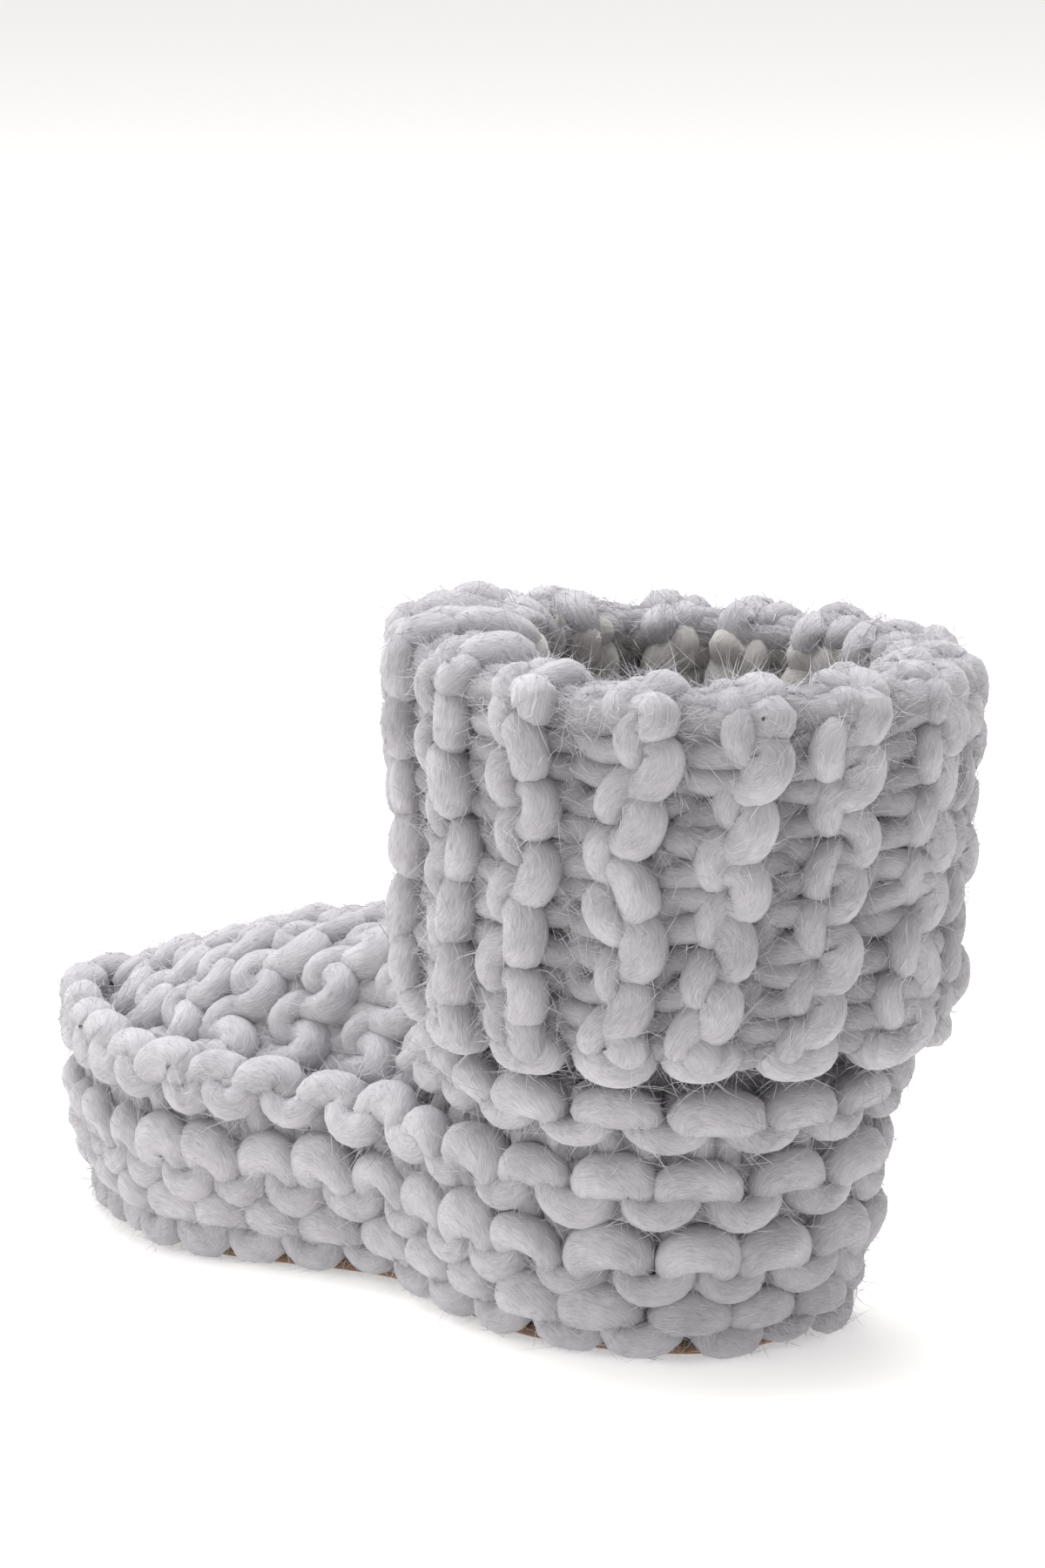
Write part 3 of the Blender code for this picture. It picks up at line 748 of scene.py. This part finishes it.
def on_collar(across, run, depth, radius, yarn, closed=False):
    """Lay one course on the collar: its ridges drift and lean, and flatten and fatten
    where the knit folds over the rim."""
    fold = np.exp(-(((run - RIM_RUN) / RIM_REACH) ** 2))
    depth = depth * (1 - RIM_FLATTENING * fold)
    radius = radius * (1 + RIM_FATNESS * fold)
    across = across + cuff_lean(across, run)
    level = np.clip(run, COLLAR_EDGE, COLLAR_END - COLLAR_EDGE)
    out = normals(collar_surface, across, level, COLLAR_STEPS, 1)
    height = depth - CUFF_YARN["radius"] - CUFF_YARN["through"] + STANDS_PROUD
    yarn.add(collar_surface(across, run) + out * height[:, None], out, radius, height, closed)


def knit_collar(start, end, seed):
    """Courses up the collar, between two lengths along its profile."""
    rng = np.random.default_rng(seed)
    yarn = Yarn()
    stitches = (end - start) / CUFF_STITCH
    steps = stitch_steps(CUFF_YARN, CUFF_STITCH, CUFF_PITCH)
    for number in range(CUFF_RIDGES):
        phase = rng.uniform(0, LATEST_PHASE)
        for knit in (True, False):
            along, across, depth, radius = yarn_course(
                rng, stitches, number, knit, CUFF_YARN, False, steps, phase)
            run = start + along * CUFF_STITCH
            own = np.random.default_rng((DRIFT_SEED, number))
            drift = wander(own, np.clip(run, 0, None) / RIDGE_DRIFT_LENGTH, RIDGE_DRIFT)
            on_collar(across + drift, run, depth, radius, yarn)
    return yarn


def knit_hem(yarn):
    """The cuff's edge: the yarn turns below each ridge in a loop that hangs down and
    forward, and goes up and back between two ridges."""
    rng = np.random.default_rng(HEM_SEED)
    t = np.arange(CUFF_RIDGES * STEPS_PER_STITCH) / STEPS_PER_STITCH
    swing = np.cos(TAU * t)
    across = t + HEM_SPREAD * np.sin(2 * TAU * t)
    across = across + wander(rng, t, HEM_UNEVEN_ACROSS, CUFF_RIDGES)
    run = HEM_LOOP_RUN - HEM_LOOP_SWING * swing + wander(rng, t, HEM_UNEVEN_RUN, CUFF_RIDGES)
    depth = CUFF_YARN["through"] * swing + wander(rng, t, UNEVEN_DEPTH, CUFF_RIDGES)
    fatness = 1 + HEM_FATNESS * swing + wander(rng, t, UNEVEN_RADIUS, CUFF_RIDGES)
    on_collar(across, run, depth, CUFF_YARN["radius"] * fatness, yarn, closed=True)


def grid_faces(rows, columns, wrap):
    """Faces of a grid of points, closed round its columns or not."""
    number = np.arange(rows * columns).reshape(rows, columns)
    lower, upper = number[:-1], number[1:]
    if wrap:
        quads = np.stack([lower, np.roll(lower, -1, 1), np.roll(upper, -1, 1), upper], -1)
    else:
        quads = np.stack([lower[:, :-1], lower[:, 1:], upper[:, 1:], upper[:, :-1]], -1)
    return quads.reshape(-1, 4)


# Finishes

def new_finish(name, roughness, sheen=0.0):
    """Principled material with its nodes, and the numbers that are the same all over."""
    made = bpy.data.materials.new(name)
    made.use_nodes = True
    nodes, links = made.node_tree.nodes, made.node_tree.links
    shader = nodes["Principled BSDF"]
    shader.inputs["Roughness"].default_value = roughness
    shader.inputs["Sheen Weight"].default_value = sheen
    shader.inputs["Sheen Roughness"].default_value = SHEEN_ROUGHNESS
    shader.inputs["Specular IOR Level"].default_value = SHINE
    return made, nodes, links, shader


def ramp(nodes, links, value, stops):
    """Colour ramp of (place, colour) stops over a value."""
    made = nodes.new("ShaderNodeValToRGB")
    elements = made.color_ramp.elements
    for element, (place, colour) in zip(elements, (stops[0], stops[-1])):
        element.position = place
        element.color = (*colour, 1)
    for place, colour in stops[1:-1]:
        elements.new(place).color = (*colour, 1)
    links.new(value, made.inputs["Fac"])
    return made.outputs["Color"]


def noise(nodes, links, vector, scale, detail, rough):
    """Noise over a vector."""
    made = nodes.new("ShaderNodeTexNoise")
    made.inputs["Scale"].default_value = scale
    made.inputs["Detail"].default_value = detail
    made.inputs["Roughness"].default_value = rough
    links.new(vector, made.inputs["Vector"])
    return made.outputs["Fac"]


def wool_finish(name, shadow, middle, light):
    """Roving wool: fibre streaks along the twisted yarn, soft blotches, painted shade in its dips.
    """
    made, nodes, links, shader = new_finish(name, 0.95, WOOL_SHEEN)
    fibre = nodes.new("ShaderNodeAttribute")
    fibre.attribute_name = "fibre"
    stretch = nodes.new("ShaderNodeMapping")
    stretch.inputs["Scale"].default_value = (1, 1, STREAK_STRETCH)
    links.new(fibre.outputs["Vector"], stretch.inputs["Vector"])
    streaks = noise(nodes, links, stretch.outputs["Vector"], *FIBRE_STREAKS)
    place = nodes.new("ShaderNodeTexCoord")
    blotches = noise(nodes, links, place.outputs["Object"], *BLOTCHES)
    fluff = noise(nodes, links, place.outputs["Object"], *FLUFF)
    mixed = nodes.new("ShaderNodeMath")
    mixed.operation = "MULTIPLY_ADD"
    mixed.inputs[1].default_value = BLOTCH_SHARE
    links.new(blotches, mixed.inputs[0])
    scaled = nodes.new("ShaderNodeMath")
    scaled.operation = "MULTIPLY"
    scaled.inputs[1].default_value = 1 - BLOTCH_SHARE
    links.new(streaks, scaled.inputs[0])
    links.new(scaled.outputs[0], mixed.inputs[2])
    tones = tuple(zip(TONE_PLACES, (shadow, middle, light)))
    colour = ramp(nodes, links, mixed.outputs[0], tones)
    # Painted shade: the colour is multiplied down where the yarn lies below the crests
    height = nodes.new("ShaderNodeAttribute")
    height.attribute_name = "height"
    reach = nodes.new("ShaderNodeMapRange")
    reach.interpolation_type = "SMOOTHSTEP"
    reach.inputs["From Min"].default_value = DARKEST_HEIGHT
    reach.inputs["From Max"].default_value = LIGHTEST_HEIGHT
    reach.inputs["To Min"].default_value = PAINTED_CREVICE_SHADE
    reach.inputs["To Max"].default_value = 1.0
    links.new(height.outputs["Fac"], reach.inputs["Value"])
    dim = nodes.new("ShaderNodeMix")
    dim.data_type = "RGBA"
    dim.blend_type = "MULTIPLY"
    dim.inputs["Factor"].default_value = 1
    links.new(colour, dim.inputs[6])
    grey = nodes.new("ShaderNodeCombineColor")
    for socket in ("Red", "Green", "Blue"):
        links.new(reach.outputs["Result"], grey.inputs[socket])
    links.new(grey.outputs[0], dim.inputs[7])
    links.new(dim.outputs[2], shader.inputs["Base Color"])
    nap = nodes.new("ShaderNodeMath")
    nap.operation = "MULTIPLY_ADD"
    nap.inputs[1].default_value = FLUFF_SHARE
    links.new(fluff, nap.inputs[0])
    links.new(streaks, nap.inputs[2])
    bump = nodes.new("ShaderNodeBump")
    bump.inputs["Strength"].default_value = BUMP_STRENGTH
    bump.inputs["Distance"].default_value = WOOL_BUMP
    links.new(nap.outputs[0], bump.inputs["Height"])
    links.new(bump.outputs["Normal"], shader.inputs["Normal"])
    return made


def plain_finish(name, dark, light, roughness, scale, bump_depth):
    """Short nap: fine mottling in colour and bump."""
    made, nodes, links, shader = new_finish(name, roughness, NAP_SHEEN)
    place = nodes.new("ShaderNodeTexCoord")
    fine = noise(nodes, links, place.outputs["Object"], scale, *MOTTLE_DETAIL)
    mottle = ramp(nodes, links, fine, tuple(zip(MOTTLE_PLACES, (dark, light))))
    links.new(mottle, shader.inputs["Base Color"])
    bump = nodes.new("ShaderNodeBump")
    bump.inputs["Strength"].default_value = BUMP_STRENGTH
    bump.inputs["Distance"].default_value = bump_depth
    links.new(fine, bump.inputs["Height"])
    links.new(bump.outputs["Normal"], shader.inputs["Normal"])
    return made


WOOL = wool_finish("grey_roving_wool", shadow=(0.29, 0.28, 0.305),
                   middle=(0.48, 0.465, 0.495), light=(0.66, 0.645, 0.675))
INNER_WOOL = wool_finish("warm_roving_wool", shadow=(0.34, 0.32, 0.31),
                         middle=(0.52, 0.495, 0.48), light=(0.68, 0.65, 0.63))
HAIR = plain_finish("loose_fibres", dark=(0.46, 0.445, 0.475), light=(0.66, 0.645, 0.675),
                    roughness=1.0, scale=60, bump_depth=0.0)
# Backing skins: wool made darker than the yarn as painted shade between the stitches
SHADED_WOOL = plain_finish("painted_shade_wool_backing", dark=(0.20, 0.195, 0.205), light=(0.34, 0.33, 0.345),
                           roughness=1.0, scale=900, bump_depth=0.3 * MM)
FLEECE = plain_finish("cream_fleece", dark=(0.40, 0.36, 0.295), light=(0.60, 0.555, 0.48),
                      roughness=1.0, scale=700, bump_depth=0.8 * MM)
SUEDE = plain_finish("tan_suede", dark=(0.20, 0.115, 0.06), light=(0.36, 0.22, 0.125),
                     roughness=0.9, scale=1400, bump_depth=0.12 * MM)


def sunk(rows, depth, wrap):
    """Grid of rows moved inward along its own normals, closed round its columns or not."""
    along = np.roll(rows, -1, 1) - np.roll(rows, 1, 1) if wrap else np.gradient(rows, axis=1)
    inward = np.cross(along, np.gradient(rows, axis=0))
    inward /= np.maximum(np.linalg.norm(inward, axis=-1, keepdims=True), 1e-12)
    return rows + inward * depth


def backing(name, rows, wrap):
    """Skin of wool behind the stitches, darker as painted shade in the gaps: a grid of rows, and
    the same grid again at the skin's thickness inside it, joined along their open edges."""
    count, columns = rows.shape[:2]
    both = np.stack([rows, sunk(rows, BACKING_SKIN, wrap)])
    number = np.arange(both.size // 3).reshape(2, count, columns)
    outer = grid_faces(count, columns, wrap)[:, ::-1]
    faces = [outer, outer[:, ::-1] + count * columns]
    for edge, turned in ((number[:, 0], False), (number[:, -1], True)):
        following = np.roll(edge, -1, 1) if wrap else edge[:, 1:]
        edge = edge if wrap else edge[:, :-1]
        strip = np.stack([edge[0], following[0], following[1], edge[1]], -1)
        faces.append(strip[:, ::-1] if turned else strip)
    if not wrap:
        for edge, turned in ((number[:, :, 0], True), (number[:, :, -1], False)):
            strip = np.stack([edge[0, :-1], edge[0, 1:], edge[1, 1:], edge[1, :-1]], -1)
            faces.append(strip[:, ::-1] if turned else strip)
    mesh = new_mesh(name, into_frame(both.reshape(-1, 3)), np.concatenate(faces), 4)
    return new_piece(name, mesh, SHADED_WOOL, "wool")


def foot_backing():
    """Skin behind the foot's wall."""
    columns, rows = WALL_GRID
    turns = np.linspace(0, TAU, columns + 1)[:-1]
    wall = [wall_point(turns, np.full(columns, ridge), BACKING_DEPTH)
            for ridge in np.linspace(0, 3, rows)]
    backing("foot_backing", np.stack(wall), True)


def heel_backing():
    """Skin behind the heel's band, drawn up into the neck under the cuff."""
    columns, rows = HEEL_GRID
    turns = np.linspace(-CORNER, CORNER, columns)
    band = [heel_point(turns, np.full(columns, ridge), BACKING_DEPTH)
            for ridge in np.linspace(3, 4, rows)]
    neck = [shaft_loop(turns * SHAFT_CORNER / CORNER, CUFF_BOTTOM + rise, inset)
            for rise, inset in NECK_ROWS]
    backing("heel_backing", np.stack(band + neck), False)


def vamp_backing():
    """Skin under the vamp, narrower than it."""
    columns, rows = VAMP_GRID
    places = np.linspace(-1, 1, columns)
    vamp = [vamp_surface(places, np.full(columns, ridge))
            for ridge in np.linspace(TOE_START, VAMP_SKIN_END, rows)]
    vamp = np.stack(vamp) * (VAMP_BACKING_WIDTH, 1, 1) - (0, 0, VAMP_BACKING_DEPTH)
    backing("vamp_backing", vamp, False)


def collar_backing():
    """Skin behind the cuff and the shaft's inside."""
    columns, rows = COLLAR_GRID
    ridges = -np.arange(columns) * CUFF_RIDGES / columns
    collar = [collar_surface(ridges, np.full(columns, run))
              for run in np.linspace(COLLAR_SKIN_START, COLLAR_END, rows)]
    backing("collar_backing", sunk(np.stack(collar), COLLAR_BACKING_DEPTH, True), True)


def sole_grid(height_rows):
    """Rows of the foot's outline at heights and insets."""
    turns = np.arange(PAD_COLUMNS) * TAU / PAD_COLUMNS
    rows = []
    for height, inset in height_rows:
        x, y = outline(turns, inset)
        rows.append(np.stack([x, y, height + 0 * x], -1))
    return np.stack(rows)


def closed_pad(name, height_rows, finish, slot, *stands_for):
    """Pad of outline rows whose first and last rows close on the foot's middle line."""
    rows = sole_grid(height_rows)
    count = rows.shape[1]
    faces = [grid_faces(len(rows), count, True)]
    points = [rows.reshape(-1, 3)]
    start = rows.size // 3
    for loop, upward in ((0, False), (len(rows) - 1, True)):
        ring = rows[loop]
        spine = ring * (0, 1, 1)
        shares = np.linspace(0, 1, PAD_RINGS + 1)[1:, None, None]
        inner = ring[None] + (spine - ring)[None] * shares
        points.append(inner.reshape(-1, 3))
        number = start + np.arange(inner.size // 3).reshape(len(inner), count)
        number = np.concatenate([(loop * count + np.arange(count))[None], number])
        start += inner.size // 3
        lower, upper = number[:-1], number[1:]
        quads = np.stack([lower, np.roll(lower, -1, 1), np.roll(upper, -1, 1), upper], -1)
        quads = quads.reshape(-1, 4)
        faces.append(quads if upward else quads[:, ::-1])
    mesh = new_mesh(name, into_frame(np.concatenate(points)), np.concatenate(faces)[:, ::-1], 4)
    return new_piece(name, mesh, finish, slot, *stands_for)


def fuzz(name, yarn, hairs, seed):
    """Loose fibres on the yarn's outer side: each is a thin ribbon tapering to a point. It
    leaves along the yarn, and its height over it grows by a power of the way along it, with
    a sideways bend that grows by the square of that way.
    """
    rng = np.random.default_rng(seed)
    sizes = np.array([len(points) for points, *_ in yarn.roots])
    points = np.concatenate([points for points, *_ in yarn.roots])
    ring = np.concatenate([ring for _, ring, *_ in yarn.roots])
    tangent = np.concatenate([tangent for *_, tangent, _ in yarn.roots])
    outward = np.concatenate([out for *_, out in yarn.roots])
    facing = (ring * outward[:, None]).sum(-1) > FUZZ_FACING
    row, side = np.nonzero(facing)
    pick = rng.integers(0, len(row), hairs)
    row, side = row[pick], side[pick]
    normal = ring[row, side]
    run = tangent[row] * rng.choice([-1, 1], hairs)[:, None]
    run = run + np.cross(normal, run) * rng.normal(0, HAIR_SLANT, hairs)[:, None]
    run /= np.linalg.norm(run, axis=1, keepdims=True)
    bend = np.cross(normal, run) * rng.normal(0, HAIR_BEND, hairs)[:, None]
    length = np.where(rng.random(hairs) < LONG_HAIRS, rng.uniform(*LONG_HAIR, hairs),
                      rng.uniform(*SHORT_HAIR, hairs))[:, None] * MM
    lift = rng.uniform(*HAIR_LIFT, hairs)[:, None]
    shift = tangent[row] * rng.uniform(-HAIR_SHIFT, HAIR_SHIFT, hairs)[:, None]
    start = points[row, side] - normal * HAIR_ROOT + shift
    spine = [start + length * (run * share + normal * lift * share**HAIR_RISE + bend * share * share)
             for share in (0, 0.5, 1)]
    flat = np.cross(run, rng.normal(0, 1, (hairs, 3)))
    flat /= np.linalg.norm(flat, axis=1, keepdims=True)
    half = rng.uniform(*HAIR_WIDTHS, hairs)[:, None] * HAIR_WIDTH / 2
    corners = []
    for knot, share in zip(spine[:-1], (1, HAIR_WAIST)):
        corners += [knot - flat * half * share, knot + flat * half * share]
    corners.append(spine[-1])
    vertices = np.stack(corners, 1).reshape(-1, 3)
    vertices[:, 2] = np.maximum(vertices[:, 2], HAIR_FLOOR)
    first = np.arange(hairs)[:, None, None] * 5
    pattern = np.array([(0, 1, 3), (0, 3, 2), (2, 3, 4)])
    mesh = new_mesh(name, into_frame(vertices), (first + pattern).reshape(-1, 3), 3)
    return new_piece(name, mesh, HAIR, "wool")


foot_yarn = knit_side()
yarn_piece("foot_knit", foot_yarn, WOOL, "wool", "upper")
vamp_yarn = knit_vamp()
yarn_piece("vamp_knit", vamp_yarn, WOOL, "wool")
cuff_yarn = knit_collar(HEM_START, LIP_RUN, CUFF_SEED)
knit_hem(cuff_yarn)
yarn_piece("cuff_knit", cuff_yarn, WOOL, "wool", "cuff")
shaft_yarn = knit_collar(LIP_RUN, COLLAR_END, SHAFT_SEED)
yarn_piece("shaft_knit", shaft_yarn, INNER_WOOL, "wool")

fuzz("foot_fuzz", foot_yarn, *FOOT_HAIRS)
fuzz("vamp_fuzz", vamp_yarn, *VAMP_HAIRS)
fuzz("cuff_fuzz", cuff_yarn, *CUFF_HAIRS)
foot_backing()
heel_backing()
vamp_backing()
collar_backing()

suede_rows = (
    (0, SOLE_INSET + SUEDE_EDGE),
    (SUEDE_EDGE, SOLE_INSET),
    (SOLE_THICKNESS - SUEDE_EDGE, SOLE_INSET),
    (SOLE_THICKNESS, SOLE_INSET + SUEDE_EDGE),
)
closed_pad("suede_sole", suede_rows, SUEDE, "suede", "outsole")
fleece_wall = 2 * KNIT_WALL + CLEARANCE
fleece_rows = [(KNIT_BOTTOM + rise, fleece_wall + inset) for rise, inset in FLEECE_ROWS]
pad = closed_pad("fleece_insole", fleece_rows, FLEECE, "fleece", "insole")

# Floor, light and camera

FLOOR_REACH = 4               # metres from the middle
FLOOR_GLOW = 0.42
WORLD_LIGHT = 0.50

floor_mesh = bpy.data.meshes.new("floor")
corners = [(x * FLOOR_REACH, y * FLOOR_REACH, 0) for x, y in ((-1, -1), (1, -1), (1, 1), (-1, 1))]
floor_mesh.from_pydata(corners, [], [(0, 1, 2, 3)])
floor = bpy.data.objects.new("floor", floor_mesh)
bpy.context.scene.collection.objects.link(floor)
paper, _, _, paper_shader = new_finish("white_floor", 0.9)
paper_shader.inputs["Base Color"].default_value = (0.80, 0.78, 0.76, 1)
paper_shader.inputs["Emission Color"].default_value = (1, 1, 1, 1)
paper_shader.inputs["Emission Strength"].default_value = FLOOR_GLOW
floor_mesh.materials.append(paper)

bpy.context.scene.view_settings.view_transform = "Standard"
world = bpy.data.worlds.new("studio")
bpy.context.scene.world = world
world.use_nodes = True
world.node_tree.nodes["Background"].inputs["Color"].default_value = (1, 1, 1, 1)
world.node_tree.nodes["Background"].inputs["Strength"].default_value = WORLD_LIGHT


def area_light(name, place, target, size, power):
    """Soft square light at a place, turned to a target."""
    data = bpy.data.lights.new(name, "AREA")
    data.shape = "SQUARE"
    data.size = size
    data.energy = power
    made = bpy.data.objects.new(name, data)
    made.location = place
    made.rotation_euler = (Vector(target) - Vector(place)).to_track_quat("-Z", "Y").to_euler()
    bpy.context.scene.collection.objects.link(made)


area_light("key", place=(-0.12, -0.24, 1.00), target=(0, 0, 0.03), size=0.8, power=15)
area_light("fill", place=(0.80, -0.70, 0.60), target=(0, 0, 0.04), size=1.4, power=7)

camera_data = bpy.data.cameras.new("camera")
camera = bpy.data.objects.new("camera", camera_data)
bpy.context.scene.collection.objects.link(camera)
bpy.context.scene.camera = camera
TARGET = np.array([-SHIFT_X, -SHIFT_Y, 39 * MM])   # middle of the shoe
TO_CAMERA = np.array([0.6487, 0.7321, 0.2079])
TO_CAMERA /= np.linalg.norm(TO_CAMERA)
DISTANCE = 952.6 * MM
FOCAL = 8605                  # pixels
TARGET_PIXEL = (524.1, 1102)  # where the target is seen in the photo
IMAGE = (1200, 1800)
SENSOR = 36
right = np.cross([0, 0, 1], TO_CAMERA)
right /= np.linalg.norm(right)
up = np.cross(TO_CAMERA, right)
off_x, off_y = IMAGE[0] / 2 - TARGET_PIXEL[0], TARGET_PIXEL[1] - IMAGE[1] / 2
ray = -TO_CAMERA * FOCAL + right * off_x + up * off_y
camera.location = TARGET + TO_CAMERA * DISTANCE
camera.rotation_euler = Vector(ray).to_track_quat("-Z", "Y").to_euler()
camera_data.sensor_fit = "AUTO"
camera_data.sensor_width = SENSOR
camera_data.lens = FOCAL / IMAGE[1] * SENSOR
camera_data.clip_start = 0.01
camera_data.clip_end = 20
